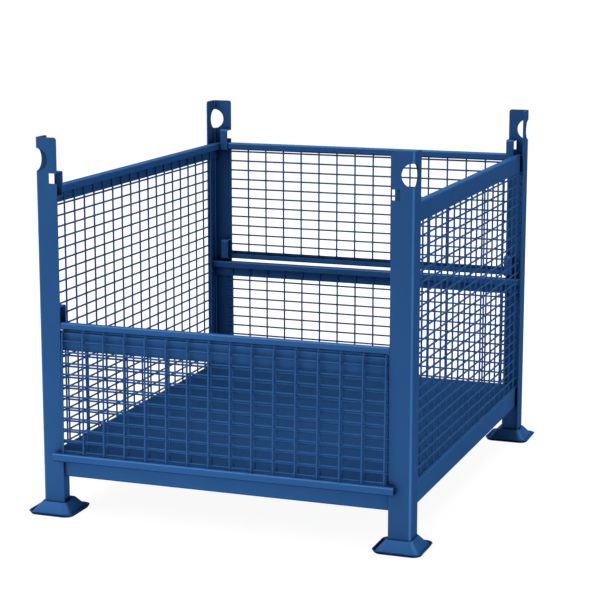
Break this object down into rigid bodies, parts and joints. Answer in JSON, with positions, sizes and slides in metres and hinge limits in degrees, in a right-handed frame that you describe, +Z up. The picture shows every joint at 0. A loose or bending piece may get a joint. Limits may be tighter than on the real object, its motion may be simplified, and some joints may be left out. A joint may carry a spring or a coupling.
{
  "type": "steel pallet cage",
  "caption": "Stackable steel pallet cage with mesh walls, sheet floor, pressed hollow feet and drop-down half flaps in the front and back.",
  "frame": {"origin": "on the floor, under the middle of the cage", "axes": "+X to the right seen from the front, +Y to the back, +Z up; the front flap hangs open at rest and the back flap is closed"},
  "size_m": [1.11, 1.295, 1.02],
  "materials": {
    "post_paint": "satin blue paint on folded steel",
    "rail_paint": "satin blue paint on folded steel",
    "foot_paint": "satin blue paint on pressed steel",
    "floor_paint": "satin blue paint on sheet steel, scuffed",
    "wire_paint": "satin blue paint on welded wire",
    "bar_paint": "satin blue paint, worn where it slides"
  },
  "bodies": {
    "frame": {"post_front_left": "post_paint", "post_front_right": "post_paint", "post_back_left": "post_paint", "post_back_right": "post_paint", "leg_angle_front_left": "post_paint", "leg_angle_front_right": "post_paint", "leg_angle_back_left": "post_paint", "leg_angle_back_right": "post_paint", "foot_front_left": "foot_paint", "foot_front_right": "foot_paint", "foot_back_left": "foot_paint", "foot_back_right": "foot_paint", "top_guide_front_left": "rail_paint", "top_guide_front_right": "rail_paint", "top_guide_back_left": "rail_paint", "top_guide_back_right": "rail_paint", "hinge_guide_front_left": "rail_paint", "hinge_guide_front_right": "rail_paint", "hinge_guide_back_left": "rail_paint", "hinge_guide_back_right": "rail_paint", "base_rail_front": "rail_paint", "base_rail_back": "rail_paint", "base_rail_left": "rail_paint", "base_rail_right": "rail_paint", "floor_sheet": "floor_paint", "floor_cross_members": "floor_paint", "side_rail_left": "rail_paint", "side_rail_right": "rail_paint", "lower_rail_front": "rail_paint", "lower_rail_back": "rail_paint", "mesh_left_uprights": "wire_paint", "mesh_left_crosswires": "wire_paint", "mesh_right_uprights": "wire_paint", "mesh_right_crosswires": "wire_paint", "mesh_front_uprights": "wire_paint", "mesh_front_crosswires": "wire_paint", "mesh_back_uprights": "wire_paint", "mesh_back_crosswires": "wire_paint"},
    "front_bar": {"front_hinge_bar": "bar_paint"},
    "front_flap": {"front_flap_hinge_rail": "rail_paint", "front_flap_free_rail": "rail_paint", "front_flap_uprights": "wire_paint", "front_flap_crosswires": "wire_paint"},
    "back_bar": {"back_hinge_bar": "bar_paint"},
    "back_flap": {"back_flap_hinge_rail": "rail_paint", "back_flap_free_rail": "rail_paint", "back_flap_uprights": "wire_paint", "back_flap_crosswires": "wire_paint"}
  },
  "joints": [
    {"name": "front_lift", "type": "slide", "parent": "frame", "child": "front_bar", "axis": [0, 0, 1], "range_m": [0, 0.036]},
    {"name": "front_swing", "type": "hinge", "parent": "front_bar", "child": "front_flap", "pos_m": [0, -0.6005, 0.519], "axis": [-1, 0, 0], "range_deg": [0, 178.5]},
    {"name": "back_lift", "type": "slide", "parent": "frame", "child": "back_bar", "axis": [0, 0, 1], "range_m": [0, 0.036]},
    {"name": "back_swing", "type": "hinge", "parent": "back_bar", "child": "back_flap", "pos_m": [0, 0.6005, 0.519], "axis": [-1, 0, 0], "range_deg": [0, 178.5]}
  ]
}
